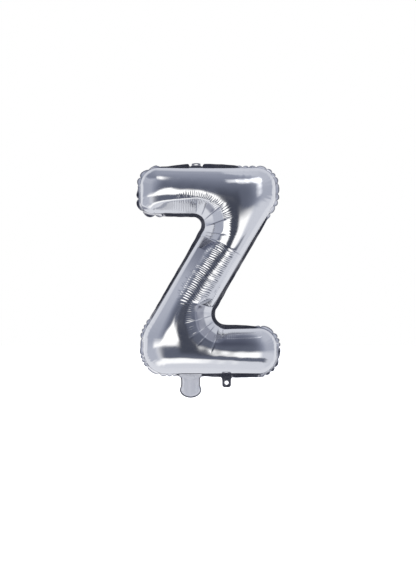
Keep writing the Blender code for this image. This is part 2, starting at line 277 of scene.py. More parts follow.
def waves(p, size, seed, count=7):
    """Smooth noise about 1 high, with features of that size in mm."""
    pick = np.random.default_rng(seed)
    out = 0
    for _ in range(count):
        a, k, f = pick.uniform(0, math.tau), math.tau / size * pick.uniform(0.6, 1.4), pick.uniform(0, math.tau)
        out = out + np.sin(k * (math.cos(a) * p[..., 0] + math.sin(a) * p[..., 1]) + f)
    return out / math.sqrt(count)


def wobble(s, size, seed):
    """The same along one line."""
    return waves(np.stack([s, np.zeros_like(s)], -1), size, seed, 5)


def to_segment(p, a, b):
    """Distance to a segment, share along it, and side."""
    a, b = np.asarray(a, float), np.asarray(b, float)
    run = b - a
    long = np.linalg.norm(run)
    k = ((p - a) @ run) / long**2
    off = p - a - np.clip(k, 0, 1)[:, None] * run
    return np.linalg.norm(off, axis=1), k, (p - a) @ np.array([-run[1], run[0]]) / long


def to_line(p, points):
    """Distance to a line of several segments, and share along it."""
    best, share = np.full(len(p), 1e9), np.zeros(len(p))
    for i in range(len(points) - 1):
        d, k, _ = to_segment(p, points[i], points[i + 1])
        nearer = d < best
        best = np.where(nearer, d, best)
        share = np.where(nearer, (i + np.clip(k, 0, 1)) / (len(points) - 1), share)
    return best, share


# ---------------------------------------------------------------- ribbon of rows across the letter
def rounded(corners, before, after, steps=40):
    line = [before, *[c for c, _ in corners], after]
    points, arcs = [], []
    for i, (corner, r) in enumerate(corners):
        m, s, e, first, turn = corner_arc(line[i], line[i + 1], line[i + 2], r)
        share = np.linspace(0, 1, steps)
        if i == 0:
            share = np.linspace(0.5, 1, steps // 2)
        if i == len(corners) - 1:
            share = np.linspace(0, 0.5, steps // 2)
        points += [m + r * np.array([math.cos(first + turn * k), math.sin(first + turn * k)]) for k in share]
        arcs.append((m, s, e))
    return np.array(points), arcs


def along(points, at):
    length = np.concatenate([[0], np.cumsum(np.linalg.norm(np.diff(points, axis=0), axis=1))])
    at = np.linspace(0, length[-1], at) if np.isscalar(at) else np.asarray(at)
    return np.stack([np.interp(at, length, points[:, k]) for k in (0, 1)], 1)


def distance_at(points, p):
    fine = along(points, 8001)
    length = np.linalg.norm(np.diff(points, axis=0), axis=1).sum()
    return length * np.argmin(np.linalg.norm(fine - np.asarray(p), axis=1)) / 8000


def seen_from(points, middle, angles):
    fine = along(points, 8001)
    length = np.linalg.norm(np.diff(points, axis=0), axis=1).sum()
    ray = np.unwrap(np.arctan2(fine[:, 1] - middle[1], fine[:, 0] - middle[0]))
    ray += math.tau * round((np.mean(angles) - ray[len(ray) // 2]) / math.tau)
    where = np.linspace(0, length, len(fine))
    near = (ray > min(angles) - 0.3) & (ray < max(angles) + 0.3)
    order = np.argsort(ray[near])
    return np.interp(angles, ray[near][order], where[near][order])


def ribbon(rows, columns):
    """Plan points [row, column] of the whole letter, and each row's place along the middle of the stroke, in mm."""
    a, arcs_a = rounded(CORNERS_A, (END_LEFT, 0), (END_RIGHT, BOTTOM))
    b, arcs_b = rounded(CORNERS_B, (END_LEFT, TOP), (END_RIGHT, 0))
    inner_top, inner_low = arcs_b[1], arcs_a[3]
    at_a, at_b = [], []

    def stretch(fa, fb, n, spacing=((0, 1), (1, 1))):
        """Rows over a straight part; spacing gives (share of the way, relative distance between rows)."""
        fine = np.linspace(0, 1, 801)
        total = np.cumsum(1 / np.interp(fine, *zip(*spacing)))
        v = np.interp(np.linspace(0, 1, n + 1), (total - total[0]) / (total[-1] - total[0]), fine)
        at_a.append((fa[0] + (fa[1] - fa[0]) * v)[1 if at_a else 0 :])
        at_b.append((fb[0] + (fb[1] - fb[0]) * v)[1 if at_b else 0 :])

    def fan(inner, outer, arc, store_inner, store_outer, n):
        middle, start, end = arc
        first = math.atan2(*(start - middle)[::-1])
        turn = (math.atan2(*(end - middle)[::-1]) - first + math.pi) % math.tau - math.pi
        fine = np.linspace(0, 1, 401)
        met = seen_from(outer, middle, first + turn * fine)
        even = 0.7 * fine + 0.3 * (met - met[0]) / (met[-1] - met[0])
        share = np.interp(np.linspace(0, 1, n + 1)[1:], even, fine)
        store_inner.append(distance_at(inner, start) + (distance_at(inner, end) - distance_at(inner, start)) * share)
        store_outer.append(seen_from(outer, middle, first + turn * share))

    up_a = distance_at(a, (inner_top[0][0], TOP))
    up_b = distance_at(b, inner_top[1])
    stretch((0, up_a), (0, up_b), rows[0], ((0, 0.3), (0.08, 0.8), (0.2, 2.2), (0.38, 2.2), (0.5, 1.0), (1, 0.8)))
    fan(b, a, inner_top, at_b, at_a, rows[1])
    low_a, low_b = distance_at(a, inner_low[1]), distance_at(b, inner_low[1] - ACROSS * STROKE)
    stretch((at_a[-1][-1], low_a), (at_b[-1][-1], low_b), rows[2])
    fan(a, b, inner_low, at_a, at_b, rows[3])
    end_a = np.linalg.norm(np.diff(a, axis=0), axis=1).sum()
    end_b = np.linalg.norm(np.diff(b, axis=0), axis=1).sum()
    stretch((at_a[-1][-1], end_a), (at_b[-1][-1], end_b), rows[4], ((0, 0.6), (0.25, 1.0), (0.4, 2.2), (0.8, 2.2), (0.92, 0.8), (1, 0.3)))
    pa, pb = along(a, np.concatenate(at_a)), along(b, np.concatenate(at_b))
    v = np.linspace(0, 1, columns + 1)
    t = 0.72 * (1 - np.cos(v * math.pi)) / 2 + 0.28 * v
    grid = pb[:, None] * (1 - t[:, None]) + pa[:, None] * t[:, None]
    for first, x, sign in ((0, END_LEFT, 1), (len(grid) - 1, END_RIGHT, -1)):
        z = grid[first, :, 1]
        r_low, r_high = (CORNERS_B[0][1], CORNERS_A[0][1]) if first == 0 else (CORNERS_B[-1][1], CORNERS_A[-1][1])
        z0, z1 = (TOP - BAR, TOP) if first == 0 else (BOTTOM, BOTTOM + BAR)
        into = np.where(z < z0 + r_low, z0 + r_low - z, np.where(z > z1 - r_high, z - (z1 - r_high), 0))
        r = np.where(z < (z0 + z1) / 2, r_low, r_high)
        bow = x + sign * (r - np.sqrt(np.maximum(r**2 - into**2, 0))) - grid[first, :, 0]
        far = np.abs(grid[:, columns // 2, 0] - grid[first, columns // 2, 0])
        mine = ((np.arange(len(grid)) < len(grid) / 2) == (first == 0)) & (far < 60)
        share = np.where(mine, (1 - far / 60).clip(0) ** 2, 0)
        share[first] = 1
        grid[:, :, 0] += share[:, None] * bow
    return grid


# ---------------------------------------------------------------- folds of the film
# Long sharp creases: start x, y, end x, y in the photo's pixels, depth and half width in mm
CREASES = [
    (196.1, 213.0, 197.4, 197.5, 0.45, 0.8),
    (201.5, 215.3, 208.0, 201.0, 0.50, 0.8),
    (204.7, 219.8, 225.0, 204.2, 0.60, 0.8),
    (207.2, 226.0, 232.0, 218.0, 0.60, 0.8),
    (206.4, 232.6, 229.0, 236.0, 0.40, 0.7),
    (205.6, 235.6, 214.0, 238.0, 0.35, 0.7),
    (210.5, 306.8, 189.5, 301.6, 0.55, 0.9),
    (207.5, 302.0, 210.5, 306.8, 0.25, 0.7),
    (216.5, 289.5, 211.0, 297.5, 0.30, 0.7),
    (211.0, 316.0, 184.5, 323.4, 0.45, 0.8),
    (212.6, 322.4, 190.0, 337.4, 0.50, 0.8),
    (214.6, 326.0, 198.0, 344.3, 0.50, 0.8),
    (218.4, 328.4, 211.3, 351.0, 0.50, 0.8),
    (223.0, 328.8, 221.5, 338.0, 0.30, 0.7),
]

# Flat facets between the creases round each inner corner: angle in degrees and lean
FACETS = [
    (FAN_HIGH, 17.2, [(-37, 0), (-21, 0.035), (6.5, -0.045), (31, 0.04), (56, -0.03), (80, 0.02), (112, 0)]),
    (FAN_LOW, 21.0, [(148, 0), (159, 0.03), (175, -0.02), (191.7, 0.035), (213.4, -0.03), (227.7, 0.03), (247.5, -0.025), (270, 0)]),
]

# Bends with one steep and one gentle side: points in the photo's pixels, depth, length of the gentle and of the steep side in mm
BENDS = [([(203.0, 236.6), (219.0, 242.4), (240.5, 255.5)], 0.4, 9.0, 1.0)]

# Bands of fine ripples that run across the stroke: points in the photo's pixels, half width and softness in mm, height in mm
RIPPLES = [
    ([(176, 201), (186, 198.5), (196, 197.5), (207, 199.5)], 6.0, 2.5, 0.260),
    ([(176, 208.5), (196, 208.5)], 4.0, 3.0, 0.160),
    ([(207, 199.5), (213, 202), (220, 208.5), (226, 217)], 6.5, 3.0, 0.240),
    ([(228, 209), (232, 220), (231.5, 236)], 4.0, 2.5, 0.180),
    ([(219, 247), (211, 259), (200, 274), (191, 287), (187, 296)], 13.0, 4.0, 0.420),
    ([(236, 256), (226, 269), (214, 285), (207, 295)], 12.0, 4.0, 0.280),
    ([(189.5, 303), (188, 310), (189, 320), (194, 331)], 5.0, 2.5, 0.140),
    ([(219, 334), (232, 334)], 7.0, 3.0, 0.180),
]


def ripple_phase(p):
    """Runs on along the stroke: across the top bar, round each inner corner, down the diagonal. One unit is one mm."""
    round_high = np.arctan2(p[:, 1] - FAN_HIGH[1], p[:, 0] - FAN_HIGH[0])
    round_low = np.arctan2(p[:, 1] - FAN_LOW[1], p[:, 0] - FAN_LOW[0])
    down = (p - CENTRE) @ DIAG
    high_end = (FAN_HIGH - CENTRE) @ DIAG
    low_start = (FAN_LOW - CENTRE) @ DIAG
    reach = 52.0  # radius at which the fans' ripples keep their pitch
    turn_high = np.clip(math.pi / 2 - np.where(round_high < -2.6, round_high + math.tau, round_high), 0, math.radians(120.6))
    low_angle = np.where(round_low < 0, round_low + math.tau, round_low)
    turn_low = np.clip(low_angle - math.radians(149.4), 0, math.radians(120.6))
    left = np.minimum(p[:, 0] - FAN_HIGH[0], 0) * (p[:, 1] > 40)
    right = np.maximum(p[:, 0] - FAN_LOW[0], 0) * (p[:, 1] < -40)
    return left + turn_high * reach + np.clip(down - high_end, 0, low_start - high_end) + turn_low * reach + right


# Stretches of the border that pucker into scallops: from and to in the photo's pixels, clockwise
def place(px, py):
    return near_seam(plan(px, py)[None])[1][0]


PUCKERED = [
    (place(161, 214), place(158, 168)),
    (place(240, 168), place(271, 218)),
    (place(262, 374), place(259, 328)),
    (place(176, 374), place(151, 321)),
]
PUCKERED[2] = (place(259, 328), place(262, 374))


def window(at, first, last, ramp):
    """1 between two places along the seam, clockwise, and 0 elsewhere."""
    span = (last - first) % LENGTH
    k = (at - first + ramp) % LENGTH - ramp
    return smooth(-ramp, ramp * 0.5, k) * (1 - smooth(span - ramp * 0.5, span + ramp, k))


def pucker(at):
    return np.clip(sum(window(at, a, b, 7.0) for a, b in PUCKERED), 0, 1)


def left_end(at):
    """0 at the lower corner of the top bar's left end, 1 at its upper corner, more beyond."""
    first, last = place(157, 214), place(157, 169)
    return ((at - first) % LENGTH) / ((last - first) % LENGTH)


def scallop(at, seed=3):
    """Phase of the scallops along the seam, in turns of pi. Those at the left end of the top bar are coarser."""
    return at / 10.6 + 0.33 * wobble(at, 34, seed) - 4 * smooth(0, 1, left_end(at))


def lobe(at):
    """0 at a pinch between scallops, 1 at the middle of one."""
    return np.abs(np.sin(math.pi * scallop(at))) ** 0.62


def sway(at, dist):
    """How far the border and the film beside it lean out of the flat plane, in mm. dist is negative outside the seam."""
    out = np.clip(-dist, 0, 8)
    puffed = pucker(at) * np.sin(math.pi * scallop(at)) * (0.30 * np.exp(-np.maximum(dist, 0) / 5.0) + 0.10 * out)
    calm = (1 - pucker(at)) * (0.07 * out * wobble(at, 55, 11) + 0.10 * np.exp(-np.maximum(dist, 0) / 4.0) * wobble(at, 16, 12))
    return puffed + calm


def folds(p, dist, at, side):
    """Displacement of one film along its normal, in mm, and the painted shade in its creases and hollows, from 0 to 1.
    """
    seed = 0 if side < 0 else 500
    w, dark, lit_line = np.zeros(len(p)), np.zeros(len(p)), np.zeros(len(p))
    # slow unevenness of a hand-filled film
    w += 0.13 * waves(p, 52, 21 + seed) * smooth(2, 24, dist) + 0.03 * waves(p, 19, 22 + seed) * smooth(3, 16, dist)
    for corner, radius, knots in FACETS:
        off = p - corner
        turn = np.degrees(np.arctan2(off[:, 1], off[:, 0]))
        middle = (knots[0][0] + knots[-1][0]) / 2
        turn = (turn - middle + 180) % 360 - 180 + middle
        r = np.linalg.norm(off, axis=1) - radius
        w += np.interp(turn, *zip(*knots)) * r * (1 - smooth(14, 30, r))
    # ripples
    phase = ripple_phase(p)
    turn = math.tau * (phase / 3.15 + 0.22 * wobble(phase, 17, 31 + seed) + 0.10 * waves(p, 26, 32 + seed))
    shape = 0.33 - 4 * ((turn / math.tau) % 1 - 0.5) ** 2  # rounded ridges between sharp valleys
    uneven = 0.78 + 0.3 * wobble(phase, 8.5, 33 + seed)
    high = np.zeros(len(p))
    for points, half, soft, size in RIPPLES:
        line = [plan(*q) for q in points]
        gap, share = to_line(p, line)
        gap = gap * (1 + 0.16 * wobble(phase, 6.5, 34 + seed))
        if half > 11:  # the diagonal's two rows end at the crease under the upper fan
            gap = gap + 12 * (1 - smooth(-0.5, 2.5, past_crease(p, 0)))
        high = np.maximum(high, size * (1 - smooth(half - soft, half + soft, gap)))
    w += shape * uneven * high
    # long creases, each with a soft shoulder
    pick = np.random.default_rng(77 + seed)
    for x0, y0, x1, y1, depth, half in CREASES:
        a, b = plan(x0, y0), plan(x1, y1)
        if side > 0:  # the back has its own creases, near the same places
            a, b = a + pick.normal(0, 1.0, 2), b + pick.normal(0, 3.0, 2)
        near = np.abs((p - (a + b) / 2)).max(1) < np.linalg.norm(b - a)
        q = p[near]
        _, k, off = to_segment(q, a, b)
        bend = 0.5 * np.sin(k * math.pi) * pick.uniform(-1, 1)
        ends = smooth(-0.06, 0.16, k) * (1 - smooth(0.72, 1.06, k))
        below = off * (1 if a[0] < b[0] else -1) < 0
        off = np.sqrt((off + bend) ** 2 + 0.05**2)
        w[near] -= ends * depth * np.exp(-off / np.where(below, half, 2.4 * half))
        # painted shade inside each crease; on the lower creases' unshaded tips, lit_line keeps the lower zone's painted
        # shadow off
        shown = 1 - (smooth(0.75, 1.0, k) if a[1] > 0 else smooth(0.25, 0.5, k))
        lit_line[near] = np.maximum(lit_line[near], ends * np.exp(-((off / 0.7) ** 2)) * (1 - shown) * (a[1] < 0))
        dark[near] = np.maximum(dark[near], 1.4 * depth * ends * np.exp(-((off / 0.8) ** 2)) * shown)
    for points, depth, gentle, steep in BENDS:
        line = [plan(*q) for q in points]
        for i in range(len(line) - 1):
            _, k, off = to_segment(p, line[i], line[i + 1])
            mine = (k > (-0.5 if i == 0 else 0)) & (k <= (1.5 if i == len(line) - 2 else 1))
            share = (i + k) / (len(line) - 1)
            fade = smooth(-0.04, 0.10, share) * (1 - smooth(0.86, 1.05, share))
            size = np.where(off > 0, np.exp(-np.abs(off) / steep), np.exp(-np.abs(off) / gentle))
            w -= np.where(mine, depth * fade * size, 0)
            # painted shade along the bend's valley
            dark = np.maximum(dark, np.where(mine, 0.68 * fade * np.exp(-((off / 0.8) ** 2)), 0))
    # painted shadow: the hollow under the crease of the upper fan is painted dark
    past, deep = past_crease(p, 0), inner_distance(p, 0)
    hollow = smooth(5.0, 7.0, deep) * smooth(-0.4, 0.8, past) * (1 - smooth(27 - 0.8 * past.clip(0, 14), 33 - 0.8 * past.clip(0, 14), deep))
    dark = np.maximum(dark, hollow * (0.72 - 0.14 * smooth(6, 22, past)) * (1 - smooth(20, 85, past)))
    # painted shadow too on the second zone of the lower fan's facets and the one beside it on the bar
    past, deep = past_crease(p, 1), inner_distance(p, 1)
    bar = smooth(-12, 12, p[:, 0] - FAN_LOW[0])
    zone = smooth(11 - 5.5 * bar, 12.5 - 4.0 * bar, deep) * (1 - smooth(22, 30, deep)) * (1 - smooth(-0.5, 0.7, past))
    dark = np.maximum(dark, 0.53 * zone * (1 - smooth(22, 60, p[:, 0] - FAN_LOW[0])) * (1 - lit_line))
    # and painted shadow on one facet high on the upper fan
    off = p - FAN_HIGH
    angle, r = np.degrees(np.arctan2(off[:, 1], off[:, 0])), np.linalg.norm(off, axis=1) - 17.2
    dark = np.maximum(dark, 0.60 * band_of(angle, 33, 56, 2) * band_of(r, 13.5, 22, 1.5))
    # pleats that start at each pinch of the border
    pinch = (1 - lobe(at)) ** 1.5
    w += -pucker(at) * pinch * 0.85 * smooth(0, 2.2, dist) * np.exp(-dist / 5.5)
    w += pucker(at) * 0.22 * np.sin(math.tau * scallop(at, 3)) * smooth(0, 3, dist) * np.exp(-dist / 8.0)
    return w * smooth(0, 3.0, dist), np.clip(dark, 0, 1)


# ---------------------------------------------------------------- meshes
def mesh_piece(name, verts, faces, materials, smooth_shade=True):
    mesh = bpy.data.meshes.new(name)
    faces = np.asarray(faces)
    mesh.vertices.add(len(verts))
    mesh.vertices.foreach_set("co", np.asarray(verts, dtype=np.float32).ravel())
    mesh.loops.add(faces.size)
    mesh.loops.foreach_set("vertex_index", faces.astype(np.int32).ravel())
    mesh.polygons.add(len(faces))
    mesh.polygons.foreach_set("loop_start", np.arange(0, faces.size, faces.shape[1], dtype=np.int32))
    mesh.update(calc_edges=True)
    mesh.validate()
    mesh.shade_smooth() if smooth_shade else mesh.shade_flat()
    obj = bpy.data.objects.new(name, mesh)
    bpy.context.scene.collection.objects.link(obj)
    for m in materials:
        obj.data.materials.append(m)
    return obj


def grid_faces(n, m, flip=False, wrap=False):
    """Quads of an n by m grid of points; wrap joins the last row to the first."""
    rows = n if wrap else n - 1
    i, j = np.meshgrid(np.arange(rows), np.arange(m - 1), indexing="ij")
    k = (i + 1) % n
    quad = np.stack([i * m + j, k * m + j, k * m + j + 1, i * m + j + 1], -1).reshape(-1, 4)
    return quad[:, ::-1] if flip else quad


def to_world(p, y):
    return np.stack([(p[:, 0] - ORIGIN[0]) * MM, y * MM, (p[:, 1] - ORIGIN[1]) * MM], 1)


FILM_GAP = 0.16  # the fused border is this far each side of the middle plane


def film(name, side, material):
    rows = ((200, 330, 300, 330, 120))
    grid = ribbon(rows, 76)
    n, m = grid.shape[:2]
    p = grid.reshape(-1, 2)
    dist, at = near_seam(p)
    dist = np.maximum(dist, 0)
    h = bulge(p)
    base = np.stack([p[:, 0], side * (FILM_GAP + h), p[:, 1]], 1).reshape(n, m, 3)
    du, dv = np.gradient(base, axis=0), np.gradient(base, axis=1)
    normal = np.cross(du, dv)
    normal /= np.maximum(np.linalg.norm(normal, axis=2), 1e-9)[..., None]
    normal *= np.sign((normal[n // 2, m // 2] * [0, side, 0]).sum())
    lift, dark = folds(p, dist, at, side)
    moved = base.reshape(-1, 3) + normal.reshape(-1, 3) * lift[:, None]
    moved[:, 1] += sway(at, dist) * np.exp(-dist / 9.0)
    obj = mesh_piece(name, (moved - [ORIGIN[0], 0, ORIGIN[1]]) * MM, grid_faces(n, m, flip=side > 0), [material])
    # painted shade of the creases and hollows, for the material
    obj.data.attributes.new("painted_shade", "FLOAT", "POINT").data.foreach_set("value", dark.astype(np.float32))
    return obj


# Width of the flat border: photo pixel on the seam, width in mm, clockwise from the left end
BORDER = [
    (140, 200, 4.3), (141, 186, 4.0), (148, 175, 3.4), (157, 169, 1.8), (166, 168, 1.6), (176, 168, 4.0), (188, 168, 5.6),
    (205, 168, 5.8), (222, 168, 5.2), (234, 168, 3.6), (243, 168, 1.6), (256, 168, 1.8), (268, 172, 3.2), (275, 184, 4.2),
    (276, 196, 4.2), (272, 208, 3.6), (266, 219, 2.8), (258, 233, 3.4), (240, 262, 3.8), (224, 288, 4.2), (215, 303, 5.4),
    (214, 315, 5.0), (222, 327, 5.0), (240, 328, 4.6), (256, 328, 2.6), (268, 332, 3.6), (276, 344, 4.4), (276, 356, 4.2),
    (270, 369, 4.0), (258, 374, 5.0), (242, 374, 5.6), (226, 374, 5.2), (212, 374, 4.4), (203, 374, 3.4), (190, 374, 3.2),
    (176, 374, 2.6), (162, 373, 2.8), (150, 366, 3.6), (144, 352, 4.2), (143, 338, 3.6), (146, 327, 2.6), (154, 313, 2.6),
    (170, 286, 3.2), (188, 256, 3.6), (200, 236, 5.0), (203, 226, 5.2), (198, 216, 5.2), (184, 214, 5.2), (168, 214, 4.6),
    (154, 214, 3.4), (144, 209, 3.8),
]  # fmt: skip


def border_width(at):
    where = np.array([place(x, y) for x, y, _ in BORDER])
    wide = np.array([w for _, _, w in BORDER])
    order = np.argsort(where)
    where, wide = where[order], wide[order]
    fine = np.interp(at, np.r_[where[-1] - LENGTH, where, where[0] + LENGTH], np.r_[wide[-1], wide, wide[0]])
    return fine


def tab_gap(at):
    """1 where the top tab folds back out of the border."""
    return window(at, place(189.5, 168), place(202.6, 168), 2.2)


# Where the tail and the bottom tab leave the border: middle x, half width, length of the rounded corner, in mm
ROOTS = [(-26.1, 14.3, 9.0), (27.9, 7.0, 6.0)]
FOLD_DROP = 5.1  # seam to the fold lines of the tail and the bottom tab


def root_flare(pts):
    """Extra width where the border widens into the tail and the bottom tab."""
    out = np.zeros(len(pts))
    for x, half, corner in ROOTS:
        gap = np.maximum(np.abs(pts[:, 0] - x) - half, 0) / corner
        out = np.maximum(out, np.where(pts[:, 1] < BOTTOM + 3, np.clip(1 - gap, 0, 1) ** 2, 0))
    return out


def border(name, material):
    pts, out, at, _ = seam_line(0.55)
    keep = border_width(at)
    for _ in range(30):  # soften the table's corners
        keep = (np.roll(keep, 1) + 2 * keep + np.roll(keep, -1)) / 4
    wide = keep + pucker(at) * (3.0 * lobe(at) - 1.5) * (1 + 0.35 * (left_end(at) < 1)) + 0.15 * wobble(at, 18, 41) * (1 - pucker(at))
    flare = root_flare(pts)
    wide = wide * (1 - flare) + np.maximum(wide, FOLD_DROP - 0.1) * flare
    wide = np.where(tab_gap(at) > 0, wide * (1 - tab_gap(at)) + TOP_FOLD * tab_gap(at), wide)
    # a section of the border: distance outward as a share of the width, and half thickness
    inner = [(-1.2, 0.10), (0.0, 0.15)]
    across = [(0.2, 0.15), (0.4, 0.14), (0.6, 0.14), (0.8, 0.14), (0.94, 0.13), (1.0, 0.06)]
    rings = []
    for face in (-1, 1):
        ring = [(pts + out * d, np.full(len(pts), -d), face * th, 0.0) for d, th in inner]
        ring += [(pts + out * (wide * s)[:, None], -wide * s, face * th, s) for s, th in across]
        rings += ring if face < 0 else ring[::-1]
    cols, edge = [], []
    # painted shade: the lobes round the lower left end of the top bar and the lower right end of the bottom bar are
    # painted darker
    shaded = np.maximum(window(at, place(157, 214), place(138, 191), 7.0), window(at, place(277, 350), place(262, 374), 7.0))
    calm = (1 - flare) * (1 - tab_gap(at))
    for q, dist, y, share in rings:
        # the lobes lean back and are cupped; the straight runs roll slightly at their edge
        lean = pucker(at) * np.clip(-dist, 0, 8) * (0.35 + 0.55 * lobe(at))
        cup = pucker(at) * 0.5 * lobe(at) * math.sin(math.pi * share)
        roll = (1 - pucker(at)) * 0.05 * share**2 * wobble(at, 20, 43)
        cols.append(to_world(q, y + calm * (sway(at, dist) + lean - cup + roll)))
        # painted shade along the lobes' outer edges, in the pinches between them, and over the lobes at the shaded ends
        painted_rim_shade = np.maximum(0.8 * float(smooth(0.55, 0.85, share)), 1.08 * shaded * lobe(at) * float(smooth(0.1, 0.5, share)))
        edge.append(pucker(at) * np.maximum(painted_rim_shade, 0.7 * (1 - lobe(at)) ** 2.5 * float(share > 0.15)))
    verts = np.stack(cols, 1)
    n, m = verts.shape[:2]
    i, j = np.meshgrid(np.arange(n), np.arange(m), indexing="ij")
    k, l = (i + 1) % n, (j + 1) % m
    faces = np.stack([i * m + j, i * m + l, k * m + l, k * m + j], -1).reshape(-1, 4)
    obj = mesh_piece(name, verts.reshape(-1, 3), faces, [material])
    obj.data.attributes.new("painted_shade", "FLOAT", "POINT").data.foreach_set("value", np.stack(edge, 1).ravel().astype(np.float32))
    # painted dark reflection on the border's straight runs, for the material
    obj.data.attributes.new("calm", "FLOAT", "POINT").data.foreach_set("value", np.repeat(1 - pucker(at), m).astype(np.float32))
    return obj


# ---------------------------------------------------------------- tabs and tail
def tab_edge(s):
    """Half width of a hanging tab at s mm from its fold line, with rounded corners at the root and the tip."""
    s = np.asarray(s, float)
    w = 7.0 + 2.4 * np.exp(-np.maximum(s + 0.6, 0) / 1.1) - 0.4 * smooth(2.0, 5.5, s)
    tip = np.clip((s - 11.0) / 4.0, 0, 1)
    return np.where(s > 11, 6.6 - 4.0 + 4.0 * np.sqrt(1 - tip**2), w)


def hanging_tab(name, place_at, first, last, material):
    """A thin tab with a punched hole. place_at turns (x, distance from the fold, height over the sheet) into world points."""
    s = np.r_[np.linspace(first, 11, 40), 11 + 4 * np.sin(np.linspace(0.05, 1, 14) * math.pi / 2)]
    half = tab_edge(s)
    side = np.stack([half, s], 1)
    tip = np.stack([np.linspace(half[-1], -half[-1], 8)[1:-1], np.full(6, last)], 1)
    top = np.stack([np.linspace(-half[0], half[0], 24)[1:-1], np.full(22, first)], 1)
    loop = np.concatenate([side, tip, side[::-1] * [-1, 1], top])
    hole, radius = np.array([0.0, 8.0]), 2.9
    fine = np.linspace(0, 1, 9)
    turn = np.arctan2(loop[:, 1] - hole[1], loop[:, 0] - hole[0])
    rim = hole + radius * np.stack([np.cos(turn), np.sin(turn)], 1)
    share = np.r_[0, 0.03, 0.09, 0.2, 0.35, 0.5, 0.65, 0.8, 0.92, 0.985, 1.0]
    sheet = rim[:, None] * (1 - share[:, None]) + loop[:, None] * share[:, None]
    away = np.linalg.norm(sheet - rim[:, None], axis=2)
    edge = np.linalg.norm(sheet - loop[:, None], axis=2)
    thick = 0.15 + 0.10 * np.exp(-(((away - 0.5) / 0.35) ** 2)) - 0.09 * (away < 0.02) - 0.09 * (edge < 0.02)
    sway_ = 0.10 * np.sin(sheet[..., 0] * 0.45 + 0.6) * smooth(1, 6, sheet[..., 1])
    faces, pts = [], []
    n, m = sheet.shape[:2]
    for face in (1, -1):
        pts.append(place_at(sheet[..., 0].ravel(), sheet[..., 1].ravel(), (face * thick + sway_).ravel()))
    i, j = np.meshgrid(np.arange(n), np.arange(m - 1), indexing="ij")
    k = (i + 1) % n
    quad = np.stack([i * m + j, i * m + j + 1, k * m + j + 1, k * m + j], -1).reshape(-1, 4)
    faces = [quad[:, ::-1], quad + n * m]
    row = np.arange(n)
    nxt = (row + 1) % n
    for j, flip in ((0, False), (m - 1, True)):
        wall = np.stack([row * m + j, nxt * m + j, nxt * m + j + n * m, row * m + j + n * m], -1)
        faces.append(wall if flip else wall[:, ::-1])
    obj = mesh_piece(name, np.concatenate(pts), np.concatenate(faces), [material])
    # painted shade along the tab's outline and round its hole
    dark = np.concatenate([(0.6 * np.exp(-edge / 0.5) + 0.35 * np.exp(-away / 0.5)).ravel()] * 2)
    obj.data.attributes.new("painted_shade", "FLOAT", "POINT").data.foreach_set("value", dark.astype(np.float32))
    return obj


def tail_edge(s):
    """Half width of the filling tail at s mm below its fold line."""
    s = np.asarray(s, float)
    w = 14.25 + 2.2 * np.exp(-np.maximum(s + 0.8, 0) / 1.3) + 1.2 * smooth(10.5, 16.5, s) + 0.8 * smooth(14.5, 19, s)
    low = np.clip((s - 18.2) / 12.4, 0, 1)
    return np.where(s > 18.2, 16.25 * np.sqrt(1 - low**2), np.minimum(w, 16.6))


def tail_film(name, side, material, seal):
    """One film of the filling tail: a flat sealed edge round a slightly pillowed middle, with the fold of the valve's entry at the top."""
    s = np.r_[np.linspace(-5.6, 3.6, 41)[:-1], np.linspace(3.6, 18.2, 36)[:-1], 18.2 + 12.4 * np.sin(np.linspace(0, 0.985, 44) * math.pi / 2)]
    half = tail_edge(s)
    c = np.linspace(-1, 1, 65)
    c = np.sign(c) * (0.35 * np.abs(c) + 0.65 * np.sin(np.abs(c) * math.pi / 2))
    x = half[:, None] * c
    ss_ = np.repeat(s[:, None], len(c), 1)
    line = np.concatenate([np.stack([half, s], 1), np.stack([-half[::-1], s[::-1]], 1)])
    flat = np.stack([x, ss_], -1).reshape(-1, 2)
    rim = np.full(len(flat), 99.0)
    for a, b in zip(line[:-1], line[1:]):
        rim = np.minimum(rim, to_segment(flat, a, b)[0])
    rim = rim.reshape(x.shape)
    puff = 0.55 * smooth(1.5, 5.0, rim) * smooth(-0.5, 5, ss_) + 0.10 * np.sin(x * 0.55 + 1.0) * smooth(2, 6, rim) * smooth(1, 6, ss_)
    entry = np.clip(1 - np.abs(x) / 12.0 - np.maximum(ss_, 0) / 4.2, 0, 1)
    puff += 0.7 * entry * smooth(-5.2, -1.0, ss_)
    groove = 0.12 * np.exp(-(((rim - 1.6) / 0.3) ** 2)) * (ss_ > 0)
    y = side * (0.17 + puff - groove)
    world_pts = np.stack([(TAIL_X + x - ORIGIN[0]), y, (BOTTOM - FOLD_DROP - ss_ - ORIGIN[1])], -1).reshape(-1, 3) * MM
    n, m = x.shape
    faces = grid_faces(n, m, flip=side < 0)
    obj = mesh_piece(name, world_pts, faces, [material, seal])
    middle = rim.ravel()[faces].mean(1)
    below = flat[:, 1][faces].mean(1) > -0.3
    obj.data.polygons.foreach_set("material_index", ((middle < 1.6) & below).astype(np.int32))
    # painted shade along the seal's groove and at the tail's root under the border
    dark = 0.7 * np.exp(-(((rim - 1.6) / 0.4) ** 2)) * (ss_ > 0.3) + 0.8 * (1 - smooth(0.9, 1.6, rim)) * smooth(-3, 0, ss_)
    obj.data.attributes.new("painted_shade", "FLOAT", "POINT").data.foreach_set("value", dark.ravel().astype(np.float32))
    return obj


# ---------------------------------------------------------------- materials
def nodes_of(mat):
    mat.use_nodes = True
    return mat.node_tree.nodes, mat.node_tree.links, mat.node_tree.nodes["Principled BSDF"]


